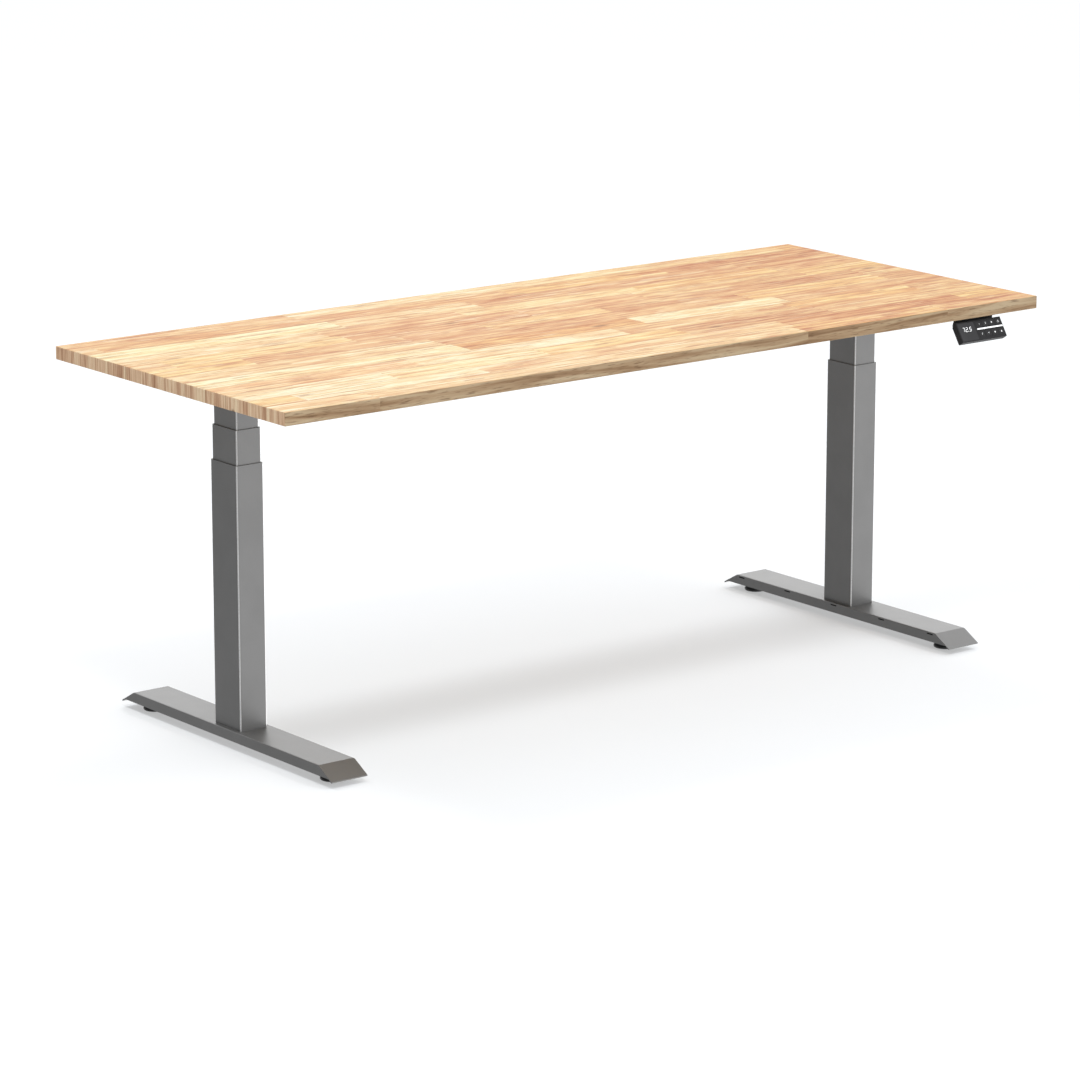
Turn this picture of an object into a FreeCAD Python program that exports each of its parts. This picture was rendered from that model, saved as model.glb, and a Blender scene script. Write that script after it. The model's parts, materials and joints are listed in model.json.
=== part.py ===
import FreeCAD
import Part
import math
import os
import Sketcher
from FreeCAD import Placement, Rotation, Vector

# Height adjustable standing desk. Origin on the floor under the middle of the desktop,
# +X along the desktop to the right, -Y towards the seated person, +Z up, millimetres.
# Everything is drawn at the height the desk stands at: 709 mm to the top of the desktop.

doc = FreeCAD.newDocument("standing_desk")
table = doc.addObject("Spreadsheet::Sheet", "Dims")

DIMS = {
    # desktop
    "top_length": 1800, "top_width": 750, "top_thick": 25, "top_height": 709, "top_edge": 1.5,
    # telescopic columns: half pitch along X, then outer, middle and inner tube
    "column_x": 750, "wall": 1.5, "guide_gap": 0.05,
    "outer_wide": 60, "outer_deep": 85, "outer_round": 4, "outer_low": 36, "outer_high": 537,
    "middle_wide": 55, "middle_deep": 80, "middle_round": 4, "middle_low": 92, "middle_high": 602.5,
    "inner_wide": 50, "inner_deep": 75, "inner_round": 4, "inner_low": 150, "inner_high": 650,
    "guide_tall": 40,
    # foot
    "foot_wide": 79, "foot_sheet": 2.5, "foot_flat": 305, "foot_top": 36, "foot_wall_low": 16.5,
    "foot_wall_end": 340.2, "foot_tip": 346.5, "foot_tip_low": 13, "foot_bend": 2.2,
    "slot_long": 17, "slot_tall": 2.4, "slot_deep": 1.7, "slot_high": 32, "slot_pitch": 145,
    # levelling glide
    "glide_y": 292, "glide_r": 22.5, "glide_tall": 12, "stem_r": 4, "stem_high": 31,
    "insert_r": 7, "insert_low": 16,
    # lifting screws
    "plate_thick": 8, "nut_tube_r": 14, "nut_tube_bore": 12, "nut_tube_high": 408, "nut_tall": 18,
    "hollow_r": 11, "hollow_bore": 8, "hollow_low": 95, "hollow_high": 470,
    "carrier_r": 17.5, "carrier_bore": 15.5, "carrier_high": 505,
    "screw_r": 7, "screw_low": 150, "screw_high": 662, "running": 0.05,
    # top frame
    "arm_half": 300, "arm_wide": 60, "arm_sheet": 2, "arm_deep": 30, "arm_end_deep": 14,
    "rail_y": 49, "rail_deep": 24, "rail_tall": 28, "rail_low": 645, "rail_wall": 2,
    "rail_inner_end": 120, "sleeve_end": 330, "sleeve_play": 0.1,
    "motor_r": 26, "motor_z": 652, "motor_near": 590, "motor_far": 710,
    # control box
    "box_long": 290, "box_wide": 108, "box_low": 645, "box_y": 132, "box_shell": 2.5,
    # handset
    "set_x": 686.8, "set_y": -370, "set_z": 678.2, "set_tilt": 57.4,
    "set_wide": 117.4, "set_tall": 42.5, "set_thick": 13.5, "face_thick": 1.2, "set_shell": 2,
    "key_wide": 14, "key_tall": 13, "key_gap": 0.2,
    # fasteners and leads
    "wood_screw_r": 2.4, "lead_r": 2.5, "lead_z": 679.5,
}
for row, (word, number) in enumerate(DIMS.items(), start=1):
    table.set("A%d" % row, word)
    table.set("B%d" % row, str(number))
    table.setAlias("B%d" % row, word)
doc.recompute()

SIDES = {"left": -1, "right": 1}
finished = []


def dims(expression):
    """Write every alias in a short expression as a reference to the spreadsheet."""
    out, word = "", ""
    for sign in str(expression) + " ":
        if sign.isalnum() or sign == "_":
            word += sign
        else:
            out += ("Dims." + word if word in DIMS else word) + sign
            word = ""
    return out.strip()


def number(expression):
    found = table.evalExpression(dims(expression))
    return float(getattr(found, "Value", found))


def bind(item, name, expression, unit=" * 1mm"):
    item.setExpression(name, "(%s)%s" % (dims(expression), unit))


def place(item, x=0, y=0, z=0):
    for axis, value in zip("xyz", (x, y, z)):
        bind(item, "Placement.Base." + axis, value)
    return item


def keep(item, label):
    """Mark a shape as one finished sub-part: its label names its STEP file."""
    item.Label = label
    finished.append(item)
    return item


# ---- sketch based features -------------------------------------------------

def new_body(name):
    return doc.addObject("PartDesign::Body", name)


def base_plane(body, plane):
    return next(item for item in body.Origin.OriginFeatures if item.Role == plane + "_Plane")


def sketch_on(body, name, plane, height="0"):
    sketch = body.newObject("Sketcher::SketchObject", name)
    sketch.AttachmentSupport = (base_plane(body, plane), "")
    sketch.MapMode = "FlatFace"
    bind(sketch, "AttachmentOffset.Base.z", height)
    return sketch


def pin(sketch, geometry, corner, x, y):
    """Hold one point of the sketch at an expression-bound place."""
    for axis, value in (("DistanceX", x), ("DistanceY", y)):
        index = sketch.addConstraint(
            Sketcher.Constraint(axis, -1, 1, geometry, corner, number(value)))
        title = "g%d_%s" % (geometry, axis[-1].lower())
        sketch.renameConstraint(index, title)
        bind(sketch, "Constraints." + title, value)


def outline(sketch, points):
    """Closed polygon whose corners are pairs of expressions."""
    spots = [Vector(number(x), number(y), 0) for x, y in points]
    first = sketch.GeometryCount
    count = len(points)
    for i in range(count):
        sketch.addGeometry(Part.LineSegment(spots[i], spots[(i + 1) % count]), False)
    for i in range(count):
        sketch.addConstraint(
            Sketcher.Constraint("Coincident", first + i, 2, first + (i + 1) % count, 1))
    for i, (x, y) in enumerate(points):
        pin(sketch, first + i, 1, x, y)
    return sketch


def rectangle(sketch, wide, tall, x="0", y="0"):
    return outline(sketch, [
        ("%s - (%s) / 2" % (x, wide), "%s - (%s) / 2" % (y, tall)),
        ("%s + (%s) / 2" % (x, wide), "%s - (%s) / 2" % (y, tall)),
        ("%s + (%s) / 2" % (x, wide), "%s + (%s) / 2" % (y, tall)),
        ("%s - (%s) / 2" % (x, wide), "%s + (%s) / 2" % (y, tall))])


def circle(sketch, radius, x="0", y="0"):
    index = sketch.addGeometry(
        Part.Circle(Vector(number(x), number(y), 0), Vector(0, 0, 1), number(radius)), False)
    bound = sketch.addConstraint(Sketcher.Constraint("Radius", index, number(radius)))
    title = "radius_%d" % index
    sketch.renameConstraint(bound, title)
    bind(sketch, "Constraints." + title, radius)
    pin(sketch, index, 3, x, y)
    return sketch


def pad(body, sketch, length, both=False, name="pad"):
    feature = body.newObject("PartDesign::Pad", name)
    feature.Profile = sketch
    bind(feature, "Length", length)
    feature.Midplane = both
    sketch.Visibility = False
    return feature


def pocket(body, sketch, length, both=False, back=False, name="pocket"):
    feature = body.newObject("PartDesign::Pocket", name)
    feature.Profile = sketch
    bind(feature, "Length", length)
    feature.Midplane = both
    feature.Reversed = back
    return feature


def turned(body, name, points):
    """Solid of revolution about Z from (radius, height) expressions."""
    sketch = outline(sketch_on(body, name + "_profile", "XZ"), points)
    feature = body.newObject("PartDesign::Revolution", name)
    feature.Profile = sketch
    feature.ReferenceAxis = (sketch, ["V_Axis"])
    feature.Angle = 360
    return feature


def rounded(body, radius, wanted, kind="PartDesign::Fillet"):
    """Round (or chamfer) the edges of the body's tip that satisfy a test."""
    doc.recompute()
    tip = body.Tip
    names = ["Edge%d" % i for i, edge in enumerate(tip.Shape.Edges, start=1) if wanted(edge)]
    feature = body.newObject(kind, "edge_finish")
    feature.Base = (tip, names)
    bind(feature, "Radius" if kind.endswith("Fillet") else "Size", radius)
    return feature


def runs_along(axis, shortest=0.0):
    def test(edge):
        box = edge.BoundBox
        spans = {"x": box.XLength, "y": box.YLength, "z": box.ZLength}
        length = spans.pop(axis)
        return length > max(shortest, 1e-3) and max(spans.values()) < 1e-3
    return test


# ---- primitives and booleans -----------------------------------------------

def box(name, x, y, z, wide, deep, tall):
    """Box centred in X and Y on a spot, standing on z."""
    item = doc.addObject("Part::Box", name)
    bind(item, "Length", wide)
    bind(item, "Width", deep)
    bind(item, "Height", tall)
    return place(item, "%s - (%s) / 2" % (x, wide), "%s - (%s) / 2" % (y, deep), z)


TURN = {"z": Rotation(), "x": Rotation(Vector(0, 1, 0), 90), "y": Rotation(Vector(1, 0, 0), -90)}


def rod(name, axis, radius, length, x, y, z):
    """Cylinder starting at a spot and running along +axis."""
    item = doc.addObject("Part::Cylinder", name)
    item.Placement = Placement(Vector(), TURN[axis])
    bind(item, "Radius", radius)
    bind(item, "Height", length)
    return place(item, x, y, z)


def join(name, parts):
    item = doc.addObject("Part::MultiFuse", name)
    item.Shapes = parts
    return item


def carve(name, base, tools):
    item = doc.addObject("Part::Cut", name)
    item.Base = base
    item.Tool = tools[0] if len(tools) == 1 else join(name + "_tools", tools)
    return item


def group(name, parts):
    item = doc.addObject("Part::Compound", name)
    item.Links = parts
    return item


def clean(name, base):
    item = doc.addObject("Part::Refine", name)
    item.Source = base
    return item


# ---- tubes, guides and feet ------------------------------------------------

def tube_body(name, wide, deep, corner, low, high, bore_wide, bore_deep, bore_corner):
    """Rectangular tube with rounded corners, standing along Z at the origin in X and Y."""
    body = new_body(name)
    pad(body, rectangle(sketch_on(body, name + "_outside", "XY", low), wide, deep),
        "(%s) - (%s)" % (high, low))
    rounded(body, corner, runs_along("z"))
    tall = "(%s) - (%s)" % (high, low)
    inside = sketch_on(body, name + "_bore", "XY", high)
    rectangle(inside, bore_wide, bore_deep)
    doc.recompute()
    before = [edge.CenterOfMass for edge in body.Tip.Shape.Edges]
    pocket(body, inside, tall)
    reach = number(bore_wide) / 2 + 1e-3, number(bore_deep) / 2 + 1e-3

    def bore_corner_edge(edge):
        spot = edge.CenterOfMass
        new = all((spot - old).Length > 1e-3 for old in before)
        return new and runs_along("z")(edge) and abs(spot.x) < reach[0] and abs(spot.y) < reach[1]
    rounded(body, bore_corner, bore_corner_edge)
    return body


STAGES = ("outer", "middle", "inner")
for side, sign in SIDES.items():
    for stage in STAGES:
        body = tube_body(
            "%s_%s_tube" % (side, stage), stage + "_wide", stage + "_deep", stage + "_round",
            stage + "_low", stage + "_high", stage + "_wide - 2 * wall", stage + "_deep - 2 * wall",
            stage + "_round - wall")
        place(body, "%d * column_x" % sign)
        keep(body, "%s_%s_tube" % (side, stage))


def liner(name, stage, host, low, high, against_host):
    """Nylon sleeve between a tube and the next one out; a running gap on its sliding side."""
    tight = "2 * guide_gap"
    wide_out, deep_out = "%s_wide - 2 * wall" % host, "%s_deep - 2 * wall" % host
    wide_in, deep_in = "%s_wide" % stage, "%s_deep" % stage
    # corners a little slack, so a sleeve never binds in the bend of a tube
    round_out, round_in = "%s_round - wall + 0.3" % host, "%s_round - 0.3" % stage
    if against_host:
        wide_in, deep_in = "%s + %s" % (wide_in, tight), "%s + %s" % (deep_in, tight)
    else:
        wide_out, deep_out = "%s - %s" % (wide_out, tight), "%s - %s" % (deep_out, tight)
    return tube_body(name, wide_out, deep_out, round_out, low, high, wide_in, deep_in, round_in)


upper_guides, lower_guides = [], []
for side, sign in SIDES.items():
    upper = liner(side + "_upper_guide", "middle", "outer",
                  "outer_high - guide_tall", "outer_high", True)
    upper_guides.append(place(upper, "%d * column_x" % sign))
    lower = liner(side + "_lowest_guide", "inner", "middle",
                  "inner_low + 2", "inner_low + 2 + guide_tall", False)
    lower_guides.append(place(lower, "%d * column_x" % sign))
    collar = liner(side + "_collar", "inner", "middle",
                   "middle_high - guide_tall", "middle_high", True)
    shoe = liner(side + "_shoe", "middle", "outer",
                 "middle_low + 3", "middle_low + 3 + guide_tall", False)
    for item in (collar, shoe):
        place(item, "%d * column_x" % sign)
    keep(group(side + "_guides", [collar, shoe]), side + "_middle_guides")
keep(group("upper_guides", upper_guides), "outer_guides")
keep(group("lower_guides", lower_guides), "inner_guides")

SLOPE_RUN = (DIMS["foot_tip"] - DIMS["foot_flat"]) / (DIMS["foot_top"] - DIMS["foot_tip_low"])
SLOPE = math.atan2(1, SLOPE_RUN)
run = "(foot_tip - foot_flat) / (foot_top - foot_tip_low)"
skin_y = "foot_sheet * %.6f" % math.sin(SLOPE)
skin_z = "foot_sheet * %.6f" % math.cos(SLOPE)


def mirrored(points):
    return points + [("-(%s)" % y, z) for y, z in reversed(points)]


BOLTS = [(-19, -30), (19, -30), (-19, 30), (19, 30)]
for side, sign in SIDES.items():
    body = new_body(side + "_foot")
    walls = outline(sketch_on(body, side + "_foot_side", "YZ"),
                    mirrored([("foot_wall_end", "foot_wall_low"), ("foot_flat", "foot_top")]))
    pad(body, walls, "foot_wide", both=True, name="foot_blank")
    under = mirrored([
        ("foot_tip - %s + 10 * %s" % (skin_y, run), "foot_tip_low - %s - 10" % skin_z),
        ("foot_flat - %s + %s * (foot_sheet - %s)" % (skin_y, run, skin_z), "foot_top - foot_sheet")])
    pocket(body, outline(sketch_on(body, side + "_foot_inside", "YZ"), under),
           "foot_wide - 2 * foot_sheet", both=True, name="foot_hollow")
    for end in (1, -1):
        flap = [("foot_wall_end - 0.5 * %s" % run, "foot_wall_low + 0.5"),
                ("foot_tip", "foot_tip_low"),
                ("foot_tip - %s" % skin_y, "foot_tip_low - %s" % skin_z),
                ("foot_wall_end - %s - 0.5 * %s" % (skin_y, run),
                 "foot_wall_low - %s + 0.5" % skin_z)]
        flap = [("%d * (%s)" % (end, y), z) for y, z in flap]
        pad(body, outline(sketch_on(body, "%s_flap_%d" % (side, end + 1), "YZ"), flap),
            "foot_wide", both=True, name="flap")
    # assembly slots along the bend that faces the other foot
    slots = sketch_on(body, side + "_slots", "YZ", "%d * foot_wide / 2" % -sign)
    for step in (-2, -1, 0, 1, 2):
        rectangle(slots, "slot_long", "slot_tall", "%d * slot_pitch" % step, "slot_high")
    pocket(body, slots, "slot_deep", back=(sign > 0), name="assembly_slots")
    holes = sketch_on(body, side + "_bolt_holes", "XY", "foot_top")
    for x, y in BOLTS:
        circle(holes, "3.3", str(x), str(y))
    pocket(body, holes, "foot_sheet + 1", name="bolt_holes")
    edge_x = number("foot_wide") / 2
    rounded(body, "foot_bend", lambda edge: runs_along("y", 400)(edge)
            and abs(abs(edge.CenterOfMass.x) - edge_x) < 1e-3 and edge.CenterOfMass.z > 35.9)
    place(body, "%d * column_x" % sign)
    keep(body, side + "_foot")

plates, nut_tubes, bolts = [], [], []
for side, sign in SIDES.items():
    here = "%d * column_x" % sign
    body = new_body(side + "_base_plate")
    pad(body, rectangle(sketch_on(body, side + "_plate_shape", "XY", "foot_top"),
                        "outer_wide - 2 * wall", "outer_deep - 2 * wall"), "plate_thick")
    rounded(body, "outer_round - wall", runs_along("z"))
    holes = sketch_on(body, side + "_plate_holes", "XY", "foot_top + plate_thick")
    for x, y in BOLTS:
        circle(holes, "3.05", str(x), str(y))
    pocket(body, holes, "plate_thick")
    plates.append(place(body, here))
    body = new_body(side + "_nut_tube")
    foot_of_tube = "foot_top + plate_thick"
    turned(body, side + "_nut_tube_turning", [
        ("nut_tube_bore", foot_of_tube), ("nut_tube_r + 6", foot_of_tube),
        ("nut_tube_r + 6", foot_of_tube + " + 4"), ("nut_tube_r", foot_of_tube + " + 4"),
        ("nut_tube_r", "nut_tube_high"), ("hollow_r + running", "nut_tube_high"),
        ("hollow_r + running", "nut_tube_high - nut_tall"),
        ("nut_tube_bore", "nut_tube_high - nut_tall")])
    nut_tubes.append(place(body, here))
    for i, (x, y) in enumerate(BOLTS):
        name = "%s_bolt_%d" % (side, i)
        spot = "%s + (%d)" % (here, x)
        low = "foot_top - foot_sheet"
        shank = rod(name + "_shank", "z", "3", "foot_sheet + plate_thick - 0.5", spot, y, low)
        head = rod(name + "_head", "z", "5.5", "3.2", spot, y, low + " - 3.2")
        socket = doc.addObject("Part::Prism", name + "_socket")
        socket.Polygon = 6
        bind(socket, "Circumradius", "2.3")
        bind(socket, "Height", "1.8")
        place(socket, spot, y, low + " - 3.2")
        bolts.append(carve(name, join(name + "_body", [shank, head]), [socket]))
keep(group("base_plates", plates), "column_bases")
keep(group("nut_tubes", nut_tubes), "lower_nut_tubes")
keep(group("bolts", bolts), "foot_bolts")

inserts = []
for side, sign in SIDES.items():
    for end, way in (("front", -1), ("rear", 1)):
        x, y = "%d * column_x" % sign, "%d * glide_y" % way
        name = "%s_%s_glide" % (side, end)
        body = new_body(name)
        turned(body, name + "_turning", [
            ("0", "0"), ("glide_r - 1.5", "0"), ("glide_r", "1.5"), ("glide_r", "4.5"),
            ("glide_r - 3", "8.5"), ("stem_r + 5", "glide_tall - 1"), ("stem_r + 4", "glide_tall"),
            ("stem_r", "glide_tall"), ("stem_r", "stem_high - 1"), ("stem_r - 1", "stem_high"),
            ("0", "stem_high")])
        place(body, x, y)
        keep(body, name)
        tall = "foot_top - foot_sheet - insert_low"
        inserts.append(carve(name + "_insert",
                             rod(name + "_insert_out", "z", "insert_r", tall, x, y, "insert_low"),
                             [rod(name + "_insert_bore", "z", "stem_r + running", tall,
                                  x, y, "insert_low")]))
keep(group("inserts", inserts), "glide_inserts")

# ---- lifting screws inside the columns -------------------------------------
for side, sign in SIDES.items():
    here = "%d * column_x" % sign
    # middle stage: base block, carrier tube, bearing pocket and the nut of the upper screw
    block = new_body(side + "_carrier_block")
    pad(block, rectangle(sketch_on(block, side + "_block_shape", "XY", "middle_low"),
                         "middle_wide - 2 * wall", "middle_deep - 2 * wall"), "12")
    rounded(block, "middle_round - wall", runs_along("z"))
    pocket(block, circle(sketch_on(block, side + "_block_hole", "XY", "middle_low + 12"),
                         "carrier_bore"), "12")
    place(block, here)
    tube = new_body(side + "_carrier_tube")
    top, seat = "carrier_high", "hollow_high"
    turned(tube, side + "_carrier_turning", [
        ("carrier_bore", "middle_low"), ("carrier_r", "middle_low"), ("carrier_r", top),
        ("screw_r + running", top), ("screw_r + running", seat + " + 0.5"),
        ("carrier_bore", seat + " + 0.5"), ("carrier_bore", seat + " - 10"),
        ("hollow_r + running", seat + " - 10"), ("hollow_r + running", seat + " - 15"),
        ("carrier_bore", seat + " - 15")])
    place(tube, here)
    keep(clean(side + "_carrier_whole", join(side + "_carrier", [block, tube])),
         side + "_middle_carrier")
    # hollow screw, driven by the upper screw's square collar
    hollow = new_body(side + "_hollow")
    turned(hollow, side + "_hollow_turning", [
        ("hollow_bore", "hollow_low"), ("hollow_r", "hollow_low"), ("hollow_r", seat + " - 9"),
        ("carrier_bore - running", seat + " - 9"), ("carrier_bore - running", seat),
        ("hollow_bore", seat)])
    place(hollow, here)
    keep(hollow, side + "_hollow_screw")
    upper = new_body(side + "_upper_screw")
    turned(upper, side + "_upper_turning", [
        ("0", "screw_low"), ("hollow_bore - running", "screw_low"),
        ("hollow_bore - running", "screw_low + 25"), ("screw_r", "screw_low + 25"),
        ("screw_r", "screw_high"), ("0", "screw_high")])
    place(upper, here)
    keep(upper, side + "_top_screw")

# ---- top frame --------------------------------------------------------------
UNDER = "(top_height - top_thick)"
ARM_SCREWS = [-270, -165, -62, 62, 165, 270]
for side, sign in SIDES.items():
    here = "%d * column_x" % sign
    body = new_body(side + "_arm")
    profile = mirrored([("arm_half", UNDER + " - arm_end_deep"), ("arm_half", UNDER)])
    profile = [("arm_half - 110", UNDER + " - arm_deep")] + profile
    profile.append(("-arm_half + 110", UNDER + " - arm_deep"))
    pad(body, outline(sketch_on(body, side + "_arm_side", "YZ"), profile),
        "arm_wide", both=True, name="arm_blank")
    hollow = rectangle(sketch_on(body, side + "_arm_inside", "XZ"),
                       "arm_wide - 2 * arm_sheet", "60", "0", UNDER + " - arm_sheet - 30")
    pocket(body, hollow, "2 * arm_half + 10", both=True, name="arm_hollow")
    # notch in the inboard flange for the gearbox neck
    notch = rectangle(sketch_on(body, side + "_arm_notch", "YZ"), "70", "60",
                      "0", UNDER + " - arm_sheet - 30")
    pocket(body, notch, "arm_wide", back=(sign < 0), name="gearbox_notch")
    holes = sketch_on(body, side + "_arm_holes", "XY", UNDER)
    for y in ARM_SCREWS:
        circle(holes, "wood_screw_r + 0.4", "0", str(y))
    pocket(body, holes, "arm_sheet + 1", name="screw_holes")
    edge_x = number("arm_wide") / 2
    rounded(body, "0.75 * arm_sheet", lambda edge: runs_along("y", 400)(edge)
            and abs(abs(edge.CenterOfMass.x) - edge_x) < 1e-3 and edge.CenterOfMass.z > 683.9)
    place(body, here)
    keep(body, side + "_arm")

    # gearbox: cast block on the inner tube with a flanged neck towards the motor
    inward = -sign
    block = new_body(side + "_gear_block")
    pad(block, rectangle(sketch_on(block, side + "_gear_shape", "XY", "inner_high"),
                         "55.6", "68", "0", "0"), UNDER + " - arm_sheet - inner_high")
    rounded(block, "5", runs_along("z"))
    place(block, here)
    neck_mid = "%s + %d * 30" % (here, inward)
    neck = box(side + "_gear_neck", neck_mid, 0, "inner_high + 2", "16", "52", "27")
    flange = box(side + "_gear_flange", "%s + %d * 36.5" % (here, inward), 0,
                 "motor_z - 27", "7", "56", "54")
    web = rod(side + "_gear_bush", "z", "13", "6", here, 0, "inner_high - 6")
    bore = rod(side + "_gear_bore", "z", "screw_r + running",
               "screw_high + 0.2 - inner_high + 7", here, 0, "inner_high - 7")
    keep(clean(side + "_gearbox_whole",
               carve(side + "_gear_case", join(side + "_gear_solid", [block, neck, flange, web]),
                     [bore])), side + "_gearbox")

    # motor: can, end cap, and the lead box on its back
    start = "%d * motor_far" % sign if sign < 0 else "motor_near"
    can = rod(side + "_motor_can", "x", "motor_r", "motor_far - motor_near", start, 0, "motor_z")
    cap_start = "%d * motor_near" % sign if sign < 0 else "motor_near - 9"
    cap = rod(side + "_motor_cap", "x", "motor_r - 3", "9", cap_start, 0, "motor_z")
    boss_start = "%d * motor_near + 9" % sign if sign < 0 else "motor_near - 13"
    boss = rod(side + "_motor_boss", "x", "8", "4", boss_start, 0, "motor_z")
    lead_box = box(side + "_motor_lead_box", "%d * (motor_near + 14)" % sign, 0,
                   "motor_z + 14", "24", "22", "17")
    bands = [rod("%s_motor_band_%d" % (side, i), "x", "motor_r + 0.8", "5",
                 "%d * (motor_near + %d) %s" % (sign, at, "- 5" if sign < 0 else ""), 0, "motor_z")
             for i, at in enumerate((32, 106))]
    keep(clean(side + "_motor_whole", join(side + "_motor_solid", [can, cap, boss, lead_box] + bands)),
         side + "_motor")


def square_tube(name, x_low, x_high, y, low, deep, tall, wall):
    middle = "((%s) + (%s)) / 2" % (x_low, x_high)
    length = "(%s) - (%s)" % (x_high, x_low)
    outside = box(name + "_outside", middle, y, low, length, deep, tall)
    inside = box(name + "_inside", middle, y, "(%s) + (%s)" % (low, wall),
                 length + " + 2", "(%s) - 2 * (%s)" % (deep, wall),
                 "(%s) - 2 * (%s)" % (tall, wall))
    return outside, inside


arm_face = "column_x - arm_wide / 2"
SLEEVE_SCREWS = [-300, -180, 180, 300]
for side, sign in SIDES.items():
    pair = []
    for row, way in (("front", -1), ("rear", 1)):
        name = "%s_%s_rail" % (side, row)
        ends = ("-(%s)" % arm_face, "-rail_inner_end") if sign < 0 else ("rail_inner_end", arm_face)
        outside, inside = square_tube(name, ends[0], ends[1], "%d * rail_y" % way, "rail_low",
                                      "rail_deep", "rail_tall", "rail_wall")
        holes = [rod("%s_hole_%d" % (name, i), "z", "3.05", "6", x, "%d * rail_y" % way,
                     "rail_low - 2") for i, x in enumerate(SLEEVE_SCREWS) if x * sign > 0]
        pair.append(carve(name, outside, [inside] + holes))
    keep(group(side + "_rail_pair", pair), side + "_rails")
sleeves, frame_screws = [], []
for row, way in (("front", -1), ("rear", 1)):
    name = row + "_sleeve"
    y = "%d * rail_y" % way
    margin = "(rail_wall + sleeve_play)"
    outside, inside = square_tube(name, "-sleeve_end", "sleeve_end", y, "rail_low - " + margin,
                                  "rail_deep + 2 * " + margin, "rail_tall + 2 * " + margin,
                                  "rail_wall")
    holes = [rod("%s_hole_%d" % (name, i), "z", "3.3", "5", x, y, "rail_low - 4")
             for i, x in enumerate(SLEEVE_SCREWS)]
    sleeves.append(carve(name, outside, [inside] + holes))
    for i, x in enumerate(SLEEVE_SCREWS):
        name = "%s_clamp_screw_%d" % (row, i)
        low = "rail_low - " + margin
        shank = rod(name + "_shank", "z", "3", "8", x, y, low)
        head = rod(name + "_head", "z", "5.5", "3.2", x, y, low + " - 3.2")
        socket = doc.addObject("Part::Prism", name + "_socket")
        socket.Polygon = 6
        bind(socket, "Circumradius", "2.3")
        bind(socket, "Height", "1.8")
        place(socket, x, y, low + " - 3.2")
        frame_screws.append(carve(name, join(name + "_body", [shank, head]), [socket]))
keep(group("sleeves", sleeves), "centre_rails")
keep(group("clamp_screws", frame_screws), "frame_screws")

# ---- desktop ----------------------------------------------------------------
BOX_SCREWS = [(x, y) for x in (-152, 152) for y in (92, 172)]
SET_SCREWS = [(706, -347), (785, -347)]
wood_screws = [(sign * 750, y, 2.0) for sign in (-1, 1) for y in ARM_SCREWS]
wood_screws += [(x, y, 2.5) for x, y in BOX_SCREWS]
set_screws = [(x, y, 2.0) for x, y in SET_SCREWS]

body = new_body("board")
pad(body, rectangle(sketch_on(body, "board_shape", "XY", UNDER), "top_length", "top_width"),
    "top_thick")
rounded(body, "top_edge", lambda edge: True)
pilots = sketch_on(body, "pilot_holes", "XY", UNDER)
for x, y, sheet in wood_screws + set_screws:
    circle(pilots, "wood_screw_r + 0.05", str(x), str(y))
pocket(body, pilots, "18", back=True, name="pilots")
keep(body, "desktop")


def wood_screw(name, x, y, sheet):
    seat = UNDER + " - %s" % sheet
    shank = rod(name + "_shank", "z", "wood_screw_r", "17.5", x, y, seat)
    head = rod(name + "_head", "z", "5", "1.8", x, y, seat + " - 1.8")
    dome = doc.addObject("Part::Cone", name + "_dome")
    bind(dome, "Radius1", "3.4")
    bind(dome, "Radius2", "5")
    bind(dome, "Height", "0.8")
    place(dome, x, y, seat + " - 2.6")
    cross = [box(name + "_cross_" + way, x, y, seat + " - 2.6", wide, deep, "1.4")
             for way, wide, deep in (("a", "3.6", "0.9"), ("b", "0.9", "3.6"))]
    return carve(name, join(name + "_body", [shank, head, dome]), cross)


keep(group("wood_screws", [wood_screw("wood_screw_%d" % i, *spot)
                           for i, spot in enumerate(wood_screws)]), "desktop_screws")
keep(group("handset_fixings", [wood_screw("set_screw_%d" % i, *spot)
                               for i, spot in enumerate(set_screws)]), "handset_screws")

# ---- control box -------------------------------------------------------------
plate = new_body("box_plate")
pad(plate, rectangle(sketch_on(plate, "box_plate_shape", "XY", UNDER + " - box_shell"),
                     "box_long + 30", "box_wide", "0", "box_y"), "box_shell")
rounded(plate, "6", runs_along("z"))
holes = sketch_on(plate, "box_plate_holes", "XY", UNDER)
for x, y in BOX_SCREWS:
    circle(holes, "wood_screw_r + 0.4", str(x), str(y))
pocket(plate, holes, "box_shell + 1")
keep(plate, "control_box_base")

lid = new_body("box_lid")
lid_tall = UNDER + " - box_shell - box_low"
pad(lid, rectangle(sketch_on(lid, "lid_shape", "XY", "box_low"), "box_long", "box_wide",
                   "0", "box_y"), lid_tall)
rounded(lid, "6", runs_along("z"))
rounded(lid, "2.5", lambda edge: edge.CenterOfMass.z < number("box_low") + 1e-3)
pocket(lid, rectangle(sketch_on(lid, "lid_hollow", "XY", UNDER + " - box_shell"),
                      "box_long - 2 * box_shell", "box_wide - 2 * box_shell", "0", "box_y"),
       lid_tall + " - box_shell", name="lid_inside")
# mains inlet opening in the right end, lead sockets in the left end
inlet = rectangle(sketch_on(lid, "inlet_opening", "YZ"), "27.6", "20.2", "box_y + 18", "box_low + 18")
pocket(lid, inlet, "box_long / 2 + 1", back=True, name="inlet_opening_cut")
sockets = sketch_on(lid, "socket_openings", "YZ")
SOCKETS = (-36, -12, 12)
for step in SOCKETS:
    rectangle(sockets, "12", "9", "box_y + (%d)" % step, "box_low + 20")
pocket(lid, sockets, "box_long / 2 + 1", name="socket_openings_cut")
vents = sketch_on(lid, "vent_slots", "XY", "box_low")
for step in range(-5, 6):
    rectangle(vents, "4", "34", "%d" % (step * 12), "box_y + 20")
pocket(lid, vents, "box_shell + 0.5", back=True, name="vents")
keep(lid, "control_box_lid")

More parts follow.
